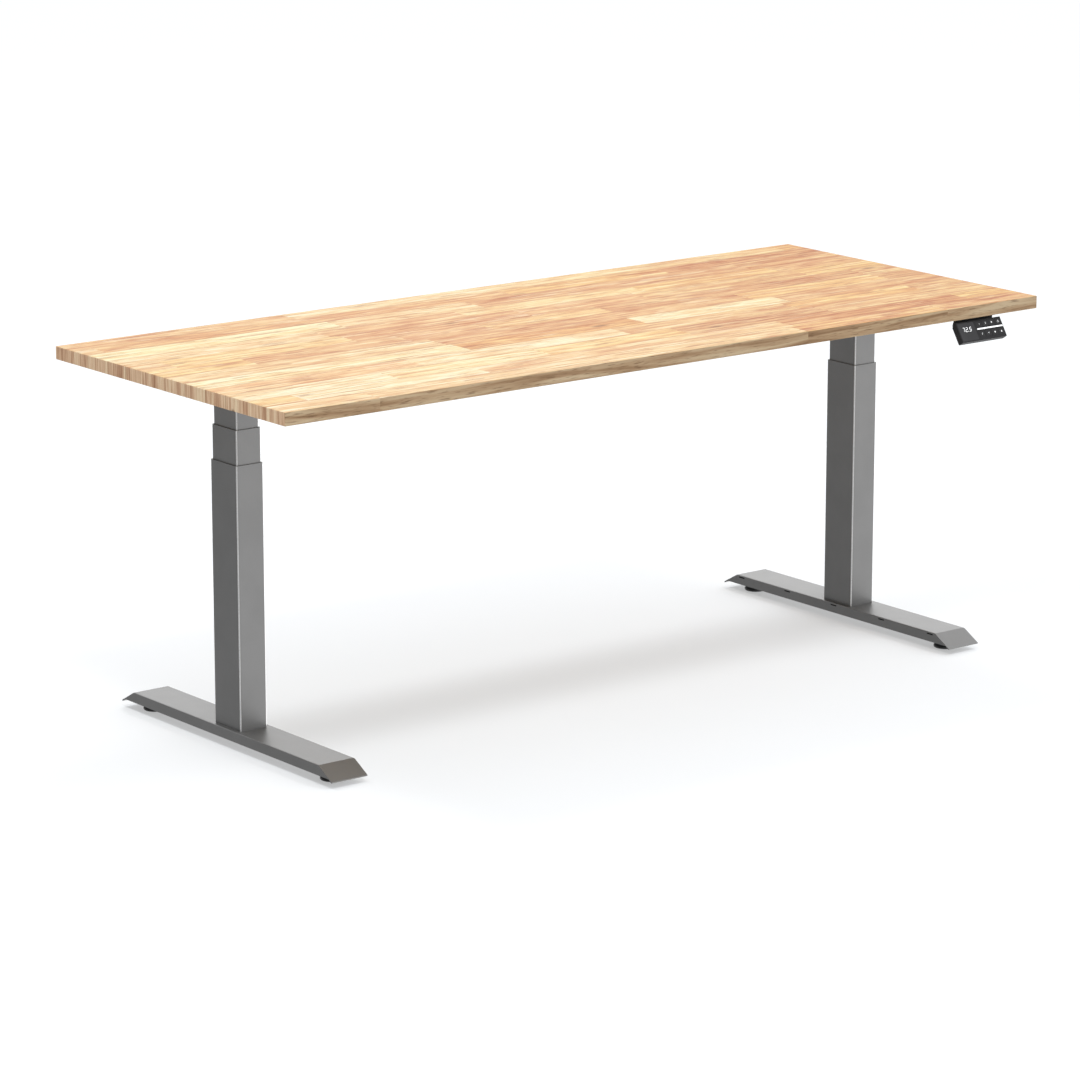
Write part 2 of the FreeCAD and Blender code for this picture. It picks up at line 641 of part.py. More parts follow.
face_x = "box_long / 2"
shell = box("inlet_flange", face_x + " + 1.2", "box_y + 18", "box_low + 18 - 13", "2.4", "33", "26")
throat = box("inlet_throat", face_x + " - 9.5", "box_y + 18", "box_low + 18 - 10", "20", "27.4", "20")
well = box("inlet_well", face_x + " - 5.8", "box_y + 18", "box_low + 18 - 7.8", "16.5", "24", "16")
pins = [box("inlet_pin_%d" % i, face_x + " - 8", "box_y + 18 + (%s)" % y, "box_low + 18 + (%s)" % z,
            "12.4", "2", "4") for i, (y, z) in enumerate((("-7", "-4.5"), ("7", "-4.5"), ("0", "0.5")))]
keep(join("inlet_whole", [carve("inlet_shell", join("inlet_block", [shell, throat]), [well])] + pins),
     "mains_inlet")

# ---- handset -------------------------------------------------------------------
# Own frame: x along the face, y up the face from its top edge, z out of the face.
def on_face(item):
    item.Placement = Placement(Vector(), Rotation(Vector(1, 0, 0), DIMS["set_tilt"]))
    return place(item, "set_x", "set_y", "set_z")


KEY_COLUMNS = (57.0, 74.1, 91.3, 108.4)
KEY_ROWS = (9.0, 29.6)
KEY_NAMES = (("key_preset_1", "key_preset_3", "key_up", "key_timer"),
             ("key_preset_2", "key_preset_4", "key_down", "key_lock"))
KEY_SPOTS = [(KEY_NAMES[row][column], x, -y) for row, y in enumerate(KEY_ROWS)
             for column, x in enumerate(KEY_COLUMNS)]
BAR = (82.6, -18.9, 67.0, 2.8)
WINDOW = (23.6, -21.25, 42.0, 37.0)

case = new_body("handset_case")
pad(case, rectangle(sketch_on(case, "case_shape", "XY", "-set_thick"), "set_wide", "set_tall",
                    "set_wide / 2", "-set_tall / 2"), "set_thick - face_thick")
rounded(case, "3", lambda edge: runs_along("z")(edge) and edge.CenterOfMass.y < -40
        and edge.CenterOfMass.x > 100)
rounded(case, "5", lambda edge: runs_along("x", 80)(edge) and edge.CenterOfMass.y > -1
        and edge.CenterOfMass.z < -13, "PartDesign::Chamfer")
rounded(case, "3", lambda edge: runs_along("x", 80)(edge) and edge.CenterOfMass.y < -42
        and edge.CenterOfMass.z < -13)
pocket(case, rectangle(sketch_on(case, "case_hollow", "XY", "-face_thick"),
                       "set_wide - 2 * set_shell", "set_tall - 2 * set_shell",
                       "set_wide / 2", "-set_tall / 2"), "6.8", name="case_inside")
keep(on_face(case), "handset_housing")

face = new_body("handset_face")
pad(face, rectangle(sketch_on(face, "face_shape", "XY", "-face_thick"), "set_wide", "set_tall",
                    "set_wide / 2", "-set_tall / 2"), "face_thick")
rounded(face, "3", lambda edge: runs_along("z")(edge) and edge.CenterOfMass.y < -40
        and edge.CenterOfMass.x > 100)
openings = sketch_on(face, "face_openings", "XY")
for name, x, y in KEY_SPOTS:
    rectangle(openings, "key_wide + 2 * key_gap", "key_tall + 2 * key_gap", str(x), str(y))
rectangle(openings, str(WINDOW[2]), str(WINDOW[3]), str(WINDOW[0]), str(WINDOW[1]))
rectangle(openings, str(BAR[2]), str(BAR[3]), str(BAR[0]), str(BAR[1]))
pocket(face, openings, "face_thick", name="face_cut")
keep(on_face(face), "handset_faceplate")

for title, (x, y, wide, tall), low in (("handset_display", WINDOW, "-face_thick"),
                                       ("handset_light_bar", BAR, "-face_thick")):
    body = new_body(title + "_body")
    pad(body, rectangle(sketch_on(body, title + "_shape", "XY", low), str(wide), str(tall),
                        str(x), str(y)), "face_thick")
    keep(on_face(body), title)

for title, x, y in KEY_SPOTS:
    body = new_body(title + "_body")
    pad(body, rectangle(sketch_on(body, title + "_cap", "XY", "-3"), "key_wide", "key_tall",
                        str(x), str(y)), "3")
    rounded(body, "0.8", runs_along("z"))
    rounded(body, "0.25", lambda edge: edge.CenterOfMass.z > -1e-3)
    pad(body, circle(sketch_on(body, title + "_stem", "XY", "-6"), "2", str(x), str(y)), "3.5",
        name="stem")
    keep(on_face(body), title)

# mounting bracket between the handset and the underside of the desktop
bracket = new_body("set_bracket")
sides = outline(sketch_on(bracket, "bracket_side", "YZ"), [
    ("set_y + 11.5", UNDER), ("set_y + 11.5", UNDER + " - 10"), ("set_y + 16", UNDER + " - 16"),
    ("set_y + 18.5", UNDER + " - 16"), ("set_y + 14", UNDER + " - 2"), ("set_y + 30", UNDER + " - 2"),
    ("set_y + 30", UNDER)])
pad(bracket, sides, "100", both=True)
holes = sketch_on(bracket, "bracket_holes", "XY", UNDER)
for x, y in SET_SCREWS:
    circle(holes, "wood_screw_r + 0.4", "%s - (set_x + set_wide / 2)" % x, str(y))
pocket(bracket, holes, "3")
place(bracket, "set_x + set_wide / 2")
keep(bracket, "handset_bracket")


# ---- leads under the desktop ------------------------------------------------------
def lead(name, corners, bend):
    """Round lead of straight runs joined by tangent arcs, swept along its centre line."""
    edges, here = [], Vector(*corners[0])
    spots = [Vector(*spot) for spot in corners]
    for i in range(1, len(spots) - 1):
        back, ahead = spots[i - 1] - spots[i], spots[i + 1] - spots[i]
        back.normalize()
        ahead.normalize()
        half = back.getAngle(ahead) / 2
        reach = bend / math.tan(half)
        enter, leave = spots[i] + back * reach, spots[i] + ahead * reach
        centre = spots[i] + (back + ahead).normalize() * (bend / math.sin(half))
        middle = centre + (spots[i] - centre).normalize() * bend
        edges.append(Part.LineSegment(here, enter).toShape())
        edges.append(Part.Arc(enter, middle, leave).toShape())
        here = leave
    edges.append(Part.LineSegment(here, spots[-1]).toShape())
    path = doc.addObject("Part::Feature", name + "_centre_line")
    path.Shape = Part.Wire(edges)
    ring = doc.addObject("Part::Circle", name + "_section")
    bind(ring, "Radius", "lead_r")
    ring.Placement = Placement(spots[0], Rotation(Vector(0, 0, 1), spots[1] - spots[0]))
    sweep = doc.addObject("Part::Sweep", name + "_sweep")
    sweep.Sections = [ring]
    sweep.Spine = (path, ["Edge%d" % i for i in range(1, len(edges) + 1)])
    sweep.Solid = True
    sweep.Frenet = True
    return keep(sweep, name)


lead_z = DIMS["lead_z"]
socket_x = -DIMS["box_long"] / 2 + 4
socket_z = DIMS["box_low"] + 20
box_y = DIMS["box_y"]
motor_x = DIMS["motor_near"] + 2
lead("left_motor_lead", [(-motor_x, 0, lead_z), (-430, 0, lead_z), (-430, box_y - 36, lead_z),
                         (-200, box_y - 36, lead_z), (-172, box_y - 36, socket_z),
                         (socket_x, box_y - 36, socket_z)], 12)
lead("right_motor_lead", [(motor_x, 0, lead_z), (430, 0, lead_z), (430, 225, lead_z),
                          (-235, 225, lead_z), (-235, box_y - 12, lead_z),
                          (-200, box_y - 12, lead_z), (-172, box_y - 12, socket_z),
                          (socket_x, box_y - 12, socket_z)], 12)
# the handset's lead leaves square to the back of its case
tilt = math.radians(DIMS["set_tilt"])
behind = Vector(0, math.sin(tilt), -math.cos(tilt))
down_face = Vector(0, -math.cos(tilt), -math.sin(tilt))
exit_spot = Vector(745, DIMS["set_y"], DIMS["set_z"]) + behind * DIMS["set_thick"] + down_face * 12
first_turn = exit_spot + behind * 14
lead("handset_lead", [tuple(exit_spot), tuple(first_turn), (745, -336, first_turn.z),
                      (745, -320, lead_z), (640, -320, lead_z), (640, -90, lead_z),
                      (300, -90, lead_z), (300, 205, lead_z), (-215, 205, lead_z),
                      (-215, box_y + 12, lead_z), (-200, box_y + 12, lead_z),
                      (-172, box_y + 12, socket_z), (socket_x, box_y + 12, socket_z)], 6)

clip_spots = [(-430, 60, "x"), (-320, box_y - 36, "y"), (430, 120, "x"), (60, 225, "y"),
              (-235, 190, "x"), (640, -200, "x"), (470, -90, "y"), (300, 100, "x"), (200, 205, "y")]
clips = []
for i, (x, y, across) in enumerate(clip_spots):
    name = "clip_%d" % i
    wide, deep = ("15", "8") if across == "x" else ("8", "15")
    bore_axis = "y" if across == "x" else "x"
    start = (x, "%s - 5" % y) if across == "x" else ("%s - 5" % x, y)
    block = box(name + "_block", x, y, UNDER + " - 8.6", wide, deep, "8.6")
    bore = rod(name + "_bore", bore_axis, "lead_r + 0.05", "10", start[0], start[1], "lead_z")
    clips.append(carve(name, block, [bore]))
keep(group("clips", clips), "cable_clips")

# ---- check and write -----------------------------------------------------------------
doc.recompute()
faulty = [item.Name for item in doc.Objects if {"Invalid", "Error"} & set(item.State)]
if faulty:
    raise RuntimeError("objects in error: %s" % ", ".join(faulty))
for item in finished:
    if item.Shape.isNull() or not item.Shape.isValid() or not item.Shape.Solids:
        raise RuntimeError("bad shape: %s" % item.Label)
os.makedirs("parts", exist_ok=True)
for item in finished:
    item.Shape.exportStep("parts/%s.step" % item.Label)
print("%d sub-parts written" % len(finished))
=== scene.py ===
import json
import math

import bmesh
import bpy
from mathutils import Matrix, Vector


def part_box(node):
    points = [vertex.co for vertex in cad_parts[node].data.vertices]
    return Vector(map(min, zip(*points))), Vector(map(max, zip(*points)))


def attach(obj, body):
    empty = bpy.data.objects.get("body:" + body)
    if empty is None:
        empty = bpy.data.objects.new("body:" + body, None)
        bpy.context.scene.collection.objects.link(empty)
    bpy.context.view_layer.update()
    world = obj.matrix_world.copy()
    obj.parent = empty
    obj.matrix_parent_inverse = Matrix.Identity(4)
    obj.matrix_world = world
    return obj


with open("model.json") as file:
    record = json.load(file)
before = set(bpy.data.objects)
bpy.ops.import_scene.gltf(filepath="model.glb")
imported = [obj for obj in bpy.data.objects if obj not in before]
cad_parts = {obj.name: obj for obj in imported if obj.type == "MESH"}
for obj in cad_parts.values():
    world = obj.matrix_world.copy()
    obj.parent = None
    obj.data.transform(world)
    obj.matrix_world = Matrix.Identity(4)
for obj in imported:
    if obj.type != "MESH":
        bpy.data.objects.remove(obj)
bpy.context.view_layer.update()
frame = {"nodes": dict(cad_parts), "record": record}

scene = bpy.context.scene
scene.view_settings.view_transform = "Standard"
scene.view_settings.look = "None"
nodes = frame["nodes"]


# ---- camera -----------------------------------------------------------------------
# Solved from the photograph: the desktop's corners, the columns and the feet.
YAW, PITCH = math.radians(-37.78), math.radians(-13.7)
LENS, SENSOR = 149.44, 36
DISTANCE = 8.6763
AIM = Vector((-0.04206, 0.00957, -0.07468))  # from half-way up under the desktop's middle
low, high = (Vector(corner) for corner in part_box("desktop"))
middle = Vector(((low.x + high.x) / 2, (low.y + high.y) / 2, high.z / 2))
forward = Vector((-math.sin(YAW) * math.cos(PITCH), math.cos(YAW) * math.cos(PITCH),
                  math.sin(PITCH)))
camera = bpy.data.objects.new("camera", bpy.data.cameras.new("camera"))
camera.data.lens = LENS
camera.data.sensor_width = SENSOR
camera.data.clip_end = 200
camera.location = middle + AIM - forward * DISTANCE
camera.rotation_euler = (math.pi / 2 + PITCH, 0, YAW)
scene.collection.objects.link(camera)
scene.camera = camera


# ---- colours and node graphs --------------------------------------------------------
def rgb(red, green, blue, factor=1.0):
    """Linear colour from eight-bit display values, dimmed by a factor."""
    def linear(value):
        value /= 255
        return factor * (value / 12.92 if value <= 0.04045 else ((value + 0.055) / 1.055) ** 2.4)
    return (linear(red), linear(green), linear(blue), 1.0)


def grey(level, blue=None):
    """Linear grey, or one with a slightly different blue."""
    return (level, level, level if blue is None else blue, 1.0)


def toned(colour, factor, lift=0.0):
    """The colour made lighter or darker by a factor, and lifted, up to white."""
    return tuple(min(1.0, c * factor + lift) for c in colour[:3]) + (1.0,)


class Graph:
    """A material's node tree, with short calls for the nodes used here."""

    def __init__(self, name):
        self.material = bpy.data.materials.new(name)
        self.material.use_nodes = True
        self.tree = self.material.node_tree
        self.shader = self.tree.nodes["Principled BSDF"]

    def put(self, socket, value):
        if isinstance(value, bpy.types.NodeSocket):
            self.tree.links.new(value, socket)
        else:
            socket.default_value = value

    def add(self, kind, inputs=(), out=0, **settings):
        item = self.tree.nodes.new(kind)
        for key, value in settings.items():
            setattr(item, key, value)
        for key, value in dict(inputs).items():
            self.put(item.inputs[key], value)
        return item.outputs[out]

    def math(self, operation, *values):
        return self.add("ShaderNodeMath", dict(enumerate(values)), operation=operation)

    def vector(self, operation, a, b):
        return self.add("ShaderNodeVectorMath", {0: a, 1: b}, operation=operation)

    def coords(self, out="Object"):
        return self.add("ShaderNodeTexCoord", out=out)

    def split(self, vector):
        item = self.tree.nodes.new("ShaderNodeSeparateXYZ")
        self.tree.links.new(vector, item.inputs[0])
        return item.outputs[:3]

    def join(self, x, y, z):
        return self.add("ShaderNodeCombineXYZ", {0: x, 1: y, 2: z})

    def noise(self, vector, scale, detail, rough, distortion=0.0, out=0):
        return self.add("ShaderNodeTexNoise", {"Vector": vector, "Scale": scale, "Detail": detail,
                        "Roughness": rough, "Distortion": distortion}, out=out)

    def grain(self, vector, stretch, detail, rough, distortion=0.0, out=0):
        """Noise with its own scale, in cells per metre, along each axis."""
        stretched = self.vector("MULTIPLY", vector, stretch)
        return self.noise(stretched, 1.0, detail, rough, distortion, out)

    def swing(self, value, amount, base):
        """The base, moved both ways by a value that varies about a half."""
        return self.math("MULTIPLY_ADD", self.math("SUBTRACT", value, 0.5), amount, base)

    def ramp(self, value, stops, interpolation="LINEAR"):
        item = self.tree.nodes.new("ShaderNodeValToRGB")
        self.tree.links.new(value, item.inputs[0])
        item.color_ramp.interpolation = interpolation
        marks = item.color_ramp.elements
        while len(marks) < len(stops):
            marks.new(0.5)
        for mark, (spot, colour) in zip(marks, stops):
            mark.position = spot
            mark.color = colour
        return item.outputs[0]

    def fade(self, value, start, end, out_low=0.0, out_high=1.0):
        return self.add("ShaderNodeMapRange", {"Value": value, "From Min": start, "From Max": end,
                        "To Min": out_low, "To Max": out_high}, interpolation_type="SMOOTHSTEP")

    def mix(self, factor, a, b, blend="MIX"):
        item = self.tree.nodes.new("ShaderNodeMix")
        item.data_type = "RGBA"
        item.blend_type = blend
        for socket, value in ((0, factor), (6, a), (7, b)):
            self.put(item.inputs[socket], value)
        return item.outputs[2]

    def tinted(self, factor, colour, tint):
        """The colour multiplied by a tint as far as the factor says."""
        return self.mix(factor, colour, self.mix(1.0, colour, tint, "MULTIPLY"))

    def bump(self, height, strength, distance):
        normal = self.add("ShaderNodeBump", {"Height": height, "Strength": strength,
                                             "Distance": distance})
        self.put(self.shader.inputs["Normal"], normal)

    def finish(self, **sockets):
        for key, value in sockets.items():
            self.put(self.shader.inputs[key.replace("_", " ")], value)
        return self.material


# ---- wood -----------------------------------------------------------------------
# Rows of glued staves from the back edge to the front. Each row gives where it ends, in
# metres from the back, and its staves as (end from the left in metres, tone, pinkness).
STAVES = [
    (0.057, [(0.50, 0.46, 0.3), (1.065, 0.80, 0.1), (1.74, 0.74, 0.1), (1.80, 0.42, 0.3)]),
    (0.113, [(0.04, 0.70, 0.1), (0.985, 0.37, 0.5), (1.385, 0.50, 0.4), (1.80, 0.24, 0.4)]),
    (0.182, [(0.53, 0.98, 0.0), (0.86, 0.62, 0.1), (1.54, 0.33, 0.4), (1.80, 0.37, 0.4)]),
    (0.240, [(0.455, 0.70, 0.3), (0.783, 0.38, 0.5), (1.22, 0.75, 0.1), (1.575, 0.50, 0.3),
             (1.80, 0.46, 0.4)]),
    (0.308, [(0.07, 0.60, 0.3), (0.47, 0.64, 0.2), (0.88, 0.27, 0.5), (1.18, 0.44, 0.7),
             (1.59, 0.50, 0.0), (1.80, 0.60, 0.0)]),
    (0.372, [(0.20, 0.66, 0.3), (0.55, 0.42, 0.3), (0.74, 0.36, 0.5), (1.03, 0.54, 0.3),
             (1.69, 0.27, 0.3), (1.80, 0.50, 0.0)]),
    (0.436, [(0.58, 0.66, 0.0), (1.33, 0.40, 0.4), (1.69, 0.57, 0.4), (1.80, 0.42, 0.2)]),
    (0.502, [(0.59, 0.88, 0.0), (1.01, 0.36, 0.6), (1.375, 0.94, 0.0), (1.80, 0.40, 0.4)]),
    (0.566, [(0.435, 0.58, 0.9), (0.915, 0.82, 0.1), (1.34, 0.54, 0.2), (1.66, 0.58, 0.6),
             (1.80, 0.46, 0.2)]),
    (0.634, [(0.325, 0.84, 0.1), (0.68, 0.80, 0.0), (1.01, 0.64, 0.3), (1.37, 0.33, 0.0),
             (1.80, 0.58, 0.2)]),
    (0.692, [(0.09, 0.60, 0.2), (0.49, 0.95, 0.0), (1.215, 0.58, 0.3), (1.67, 0.28, 0.5),
             (1.80, 0.48, 0.2)]),
    (0.750, [(0.20, 0.72, 0.1), (1.20, 0.66, 0.1), (1.56, 0.46, 0.5), (1.80, 0.44, 0.3)]),
]
ROW_LENGTH = 1.8
ROW_STEP, STAVE_STEP = 0.381, 0.274  # spread each stave's own number over 0 to 1

# How far each kind of wood colour is dimmed for the studio light. Each face gets its own dimming,
# so the faces carry painted light and shade: the front and back edges are painted darker than the
# ends.
TOP_DIM, FLECK_DIM, DASH_DIM, END_DIM, EDGE_SHADE_DIM = 0.60, 0.62, 0.58, 0.83, 0.68
TOP_TONES = [(0.0, rgb(184, 106, 58, TOP_DIM)), (0.2, rgb(217, 156, 105, TOP_DIM)),
             (0.4, rgb(232, 186, 136, TOP_DIM)), (0.55, rgb(239, 199, 146, TOP_DIM)),
             (0.7, rgb(247, 217, 166, TOP_DIM)), (0.85, rgb(253, 233, 186, TOP_DIM)),
             (1.0, rgb(255, 246, 212, TOP_DIM))]
END_TONES = [(0.0, rgb(160, 116, 84, END_DIM)), (0.35, rgb(196, 154, 122, END_DIM)),
             (0.6, rgb(222, 186, 152, END_DIM)), (1.0, rgb(240, 216, 180, END_DIM))]
SHADED_EDGE_TONES = [(0.0, rgb(140, 108, 78, EDGE_SHADE_DIM)), (0.35, rgb(172, 140, 106, EDGE_SHADE_DIM)),
              (0.65, rgb(194, 165, 130, EDGE_SHADE_DIM)), (1.0, rgb(212, 188, 154, EDGE_SHADE_DIM))]
PINK = rgb(255, 234, 224)
GOLD = (1.02, 1.0, 0.84, 1.0)
ORANGE = (1.0, 0.99, 0.88, 1.0)
DEEPER = (-0.35, 0.95)  # x over which the top turns deeper and more orange to the right


def stave_at(g, x, y):
    """A point's stave, as (tone, pinkness, own number), and how near its rows' seams are."""
    length = high.x - low.x
    across = g.math("MULTIPLY_ADD", x, 1 / length, -low.x / length)
    depth = g.math("SUBTRACT", high.y, y)
    stave, seam_gap, row_end = None, None, 0.0
    for row, (limit, staves) in enumerate(STAVES):
        stops, start = [], 0.0
        for count, (end, tone, pink) in enumerate(staves):
            own = (row * ROW_STEP + count * STAVE_STEP) % 1.0
            stops.append((start / ROW_LENGTH, (tone, pink, own, 1.0)))
            start = end
        here = g.ramp(across, stops, "CONSTANT")
        if stave is None:
            stave = here
        else:
            stave = g.mix(g.math("GREATER_THAN", depth, row_end), stave, here)
            gap = g.math("ABSOLUTE", g.math("SUBTRACT", depth, row_end))
            seam_gap = gap if seam_gap is None else g.math("MINIMUM", seam_gap, gap)
        row_end = limit
    return g.split(stave), g.fade(seam_gap, 0.0019, 0.0005)


def stave_wood():
    g = Graph("stave_wood")
    x, y, z = g.split(g.coords())
    facing = g.split(g.coords("Normal"))
    end_face, edge_face = (g.fade(g.math("ABSOLUTE", facing[axis]), 0.55, 0.85)
                           for axis in (0, 1))
    (tone, pink, own), seam = stave_at(g, x, y)

    # growth figure along the staves, shifted so that no two staves match
    shift = g.join(*(g.math("MULTIPLY", own, reach) for reach in (9.0, 3.7, 5.9)))
    spot = g.vector("ADD", g.join(x, y, z), shift)
    streak = g.grain(spot, (3.0, 62.0, 62.0), 3.0, 0.55, 0.5)
    line = g.grain(spot, (9.0, 170.0, 170.0), 3.0, 0.65, 0.3)
    fibre = g.grain(spot, (34.0, 420.0, 420.0), 2.0, 0.55)
    cloud = g.grain(spot, (9.0, 24.0, 24.0), 3.0, 0.55, 0.6)

    level = g.math("MULTIPLY_ADD", tone, 0.78, g.fade(x, *DEEPER, 0.125, 0.0))
    for figure, amount in ((streak, 0.85), (line, 1.8), (cloud, 0.8)):
        level = g.swing(figure, amount, level)
    colour = g.ramp(level, TOP_TONES)
    colour = g.tinted(g.math("MULTIPLY", pink, 0.55), colour, PINK)
    colour = g.tinted(g.fade(own, 0.45, 0.95), colour, GOLD)

    # late-wood lines, then mineral streaks, fibres, dark dashes and pale ones
    late = g.grain(spot, (3.2, 120.0, 120.0), 2.0, 0.5, 0.8)
    late = g.math("MULTIPLY", g.fade(late, 0.57, 0.66), g.fade(own, 0.15, 0.75, 0.12, 0.60))
    colour = g.mix(late, colour, rgb(208, 142, 98, FLECK_DIM))
    mineral = g.grain(spot, (5.5, 95.0, 95.0), 3.0, 0.6, 1.2)
    dash = g.grain(spot, (9.0, 150.0, 150.0), 2.0, 0.6, 0.4)
    pale = g.grain(spot, (7.0, 120.0, 131.0), 2.0, 0.6, 0.4)
    for figure, start, full, strength, tint in (
            (mineral, 0.62, 0.70, 0.6, rgb(170, 112, 76, FLECK_DIM)),
            (fibre, 0.57, 0.70, 0.5, rgb(186, 128, 88, FLECK_DIM)),
            (dash, 0.60, 0.64, 0.60, rgb(178, 116, 76, DASH_DIM)),
            (pale, 0.60, 0.65, 0.45, rgb(255, 240, 206, FLECK_DIM))):
        colour = g.mix(g.fade(figure, start, full, 0.0, strength), colour, tint)

    # a scatter of pin knots, and the glue lines between the rows
    cells = g.tree.nodes.new("ShaderNodeTexVoronoi")
    g.put(cells.inputs["Vector"], g.vector("MULTIPLY", spot, (6.0, 18.0, 18.0)))
    cells.inputs["Scale"].default_value = 1.0
    lucky = g.math("GREATER_THAN", g.split(cells.outputs["Color"])[0], 0.72)
    knot = g.math("MULTIPLY", g.fade(cells.outputs["Distance"], 0.17, 0.04), lucky)
    colour = g.mix(g.math("MULTIPLY", knot, 0.75), colour, rgb(134, 84, 50, FLECK_DIM))
    colour = g.mix(g.math("MULTIPLY", seam, 0.55), colour, rgb(190, 130, 90, TOP_DIM))
    colour = g.tinted(g.fade(x, *DEEPER), colour, ORANGE)

    # end grain: narrow upright bands of every row's rings
    ring_spot = g.join(own, y, z)
    band = g.grain(ring_spot, (3.0, 190.0, 9.0), 3.0, 0.65, 0.3)
    broad = g.grain(ring_spot, (2.0, 42.0, 3.0), 2.0, 0.5)
    speck = g.grain(spot, (700.0, 900.0, 900.0), 2.0, 0.6)
    softer_tone = g.math("MULTIPLY", tone, 0.55)
    end_level = g.swing(broad, 1.3, g.math("ADD", g.swing(band, 1.9, softer_tone), 0.2))
    end_colour = g.ramp(end_level, END_TONES)
    end_colour = g.mix(g.fade(speck, 0.52, 0.75, 0.0, 0.30), end_colour,
                       rgb(150, 104, 72, FLECK_DIM))
    end_colour = g.mix(g.math("MULTIPLY", knot, 0.8), end_colour, rgb(84, 52, 32))
    end_colour = g.mix(g.math("MULTIPLY", seam, 0.5), end_colour, rgb(140, 92, 60))

    # front and back edges: flat-sawn figure in long low waves, in darker tones that are painted
    # shade
    wave = g.vector("MULTIPLY", g.grain(spot, (2.2, 2.0, 8.0), 2.0, 0.5, out=1), (0.0, 0.0, 3.4))
    wave_spot = g.vector("ADD", g.vector("MULTIPLY", spot, (3.0, 20.0, 75.0)), wave)
    edge_level = g.swing(g.noise(wave_spot, 1.0, 4.0, 0.6, 0.5), 3.0, softer_tone)
    shaded_edge_colour = g.ramp(g.math("ADD", edge_level, 0.22), SHADED_EDGE_TONES)
    shaded_edge_colour = g.mix(g.fade(fibre, 0.54, 0.70, 0.0, 0.6), shaded_edge_colour,
                        rgb(112, 82, 56, EDGE_SHADE_DIM))
    # the ends and the edges take their own colours by the way they face; the edges' darker
    # colours are painted shade
    colour = g.mix(end_face, colour, end_colour)
    colour = g.mix(edge_face, colour, shaded_edge_colour)

    relief = g.math("ADD", g.math("MULTIPLY", line, 0.5), g.math("MULTIPLY", fibre, 0.6))
    g.bump(g.math("SUBTRACT", relief, g.math("MULTIPLY", seam, 0.8)), 0.2, 0.0003)
    rough = g.math("MULTIPLY_ADD", line, 0.16, g.math("MULTIPLY_ADD", end_face, 0.18, 0.44))
    return g.finish(Base_Color=colour, Roughness=rough, Specular_IOR_Level=0.14)


# ---- metals and plastics ----------------------------------------------------------
# The slots of the feet's inner walls, where painted shade goes, in metres: how far behind the
# wall's face they count as inside, how far along the foot they reach, and their height and half
# height.
SLOT_START, SLOT_END = 0.0003, 0.0021
SLOT_REACH = 0.302
SLOT_HEIGHT, SLOT_HALF = 0.032, 0.0014


def slot_shade_mask(g, spot):
    """One inside a foot's slots, where the paint is painted near black as shade, and nought
    outside them.
    """
    x, y, z = g.split(spot)
    depth = g.math("SUBTRACT", g.math("ABSOLUTE", x), -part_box("left_foot")[1][0])
    off_level = g.math("ABSOLUTE", g.math("SUBTRACT", z, SLOT_HEIGHT))
    inside = g.math("MULTIPLY", g.math("GREATER_THAN", depth, SLOT_START),
                    g.math("LESS_THAN", depth, SLOT_END))
    inside = g.math("MULTIPLY", inside, g.math("LESS_THAN", g.math("ABSOLUTE", y), SLOT_REACH))
    return g.math("MULTIPLY", inside, g.math("LESS_THAN", off_level, SLOT_HALF))


def powder_coat(name, colour, grain=2600.0, shaded_slots=False):
    g = Graph(name)
    spot = g.coords()
    orange_peel = g.noise(spot, 420.0, 2.0, 0.5)
    sand = g.noise(spot, grain, 3.0, 0.6)
    patch = g.noise(spot, 14.0, 3.0, 0.55)
    tint = g.mix(g.fade(patch, 0.3, 0.7), toned(colour, 0.97), toned(colour, 1.03))
    tint = g.mix(g.fade(sand, 0.58, 0.72, 0.0, 0.22), tint, toned(colour, 1.8))
    tint = g.mix(g.fade(sand, 0.42, 0.28, 0.0, 0.3), tint, toned(colour, 0.5))
    g.bump(g.math("MULTIPLY_ADD", orange_peel, 0.7, sand), 0.16, 0.0003)
    # painted highlight: the rounded upright corners get a far lighter paint colour, standing in
    # for the light they reflect, and a smoother finish
    facing = g.split(g.coords("Normal"))
    corner = g.math("ABSOLUTE", g.math("MULTIPLY", facing[0], facing[1]))
    corner = g.fade(corner, 0.28, 0.46)
    tint = g.mix(corner, tint, toned(colour, 4.6))
    roughness = g.math("MULTIPLY_ADD", sand, 0.16, g.math("MULTIPLY_ADD", corner, -0.14, 0.34))
    # painted shade: inside the slots the paint turns near black, standing in for the shadow in
    # them
    if shaded_slots:
        inside = slot_shade_mask(g, spot)
        tint = g.mix(inside, tint, grey(0.006))
        roughness = g.mix(inside, roughness, grey(0.9))
    return g.finish(Base_Color=tint, Roughness=roughness, Metallic=0.8)


def moulded(name, colour, rough=0.5, grain=1800.0, depth=0.0002, sparkle=0.25, **extra):
    g = Graph(name)
    spot = g.coords()
    erosion = g.noise(spot, grain, 3.0, 0.55)
    patch = g.noise(spot, 22.0, 3.0, 0.5)
    tint = g.mix(g.fade(patch, 0.3, 0.75), colour, toned(colour, 1.25, 0.004))
    tint = g.mix(g.fade(erosion, 0.55, 0.75, 0.0, sparkle), tint, toned(colour, 1.9, 0.01))
    g.bump(erosion, 0.25, depth)
    roughness = g.math("MULTIPLY_ADD", patch, 0.12, rough - 0.05)
    return g.finish(Base_Color=tint, Roughness=roughness, **extra)


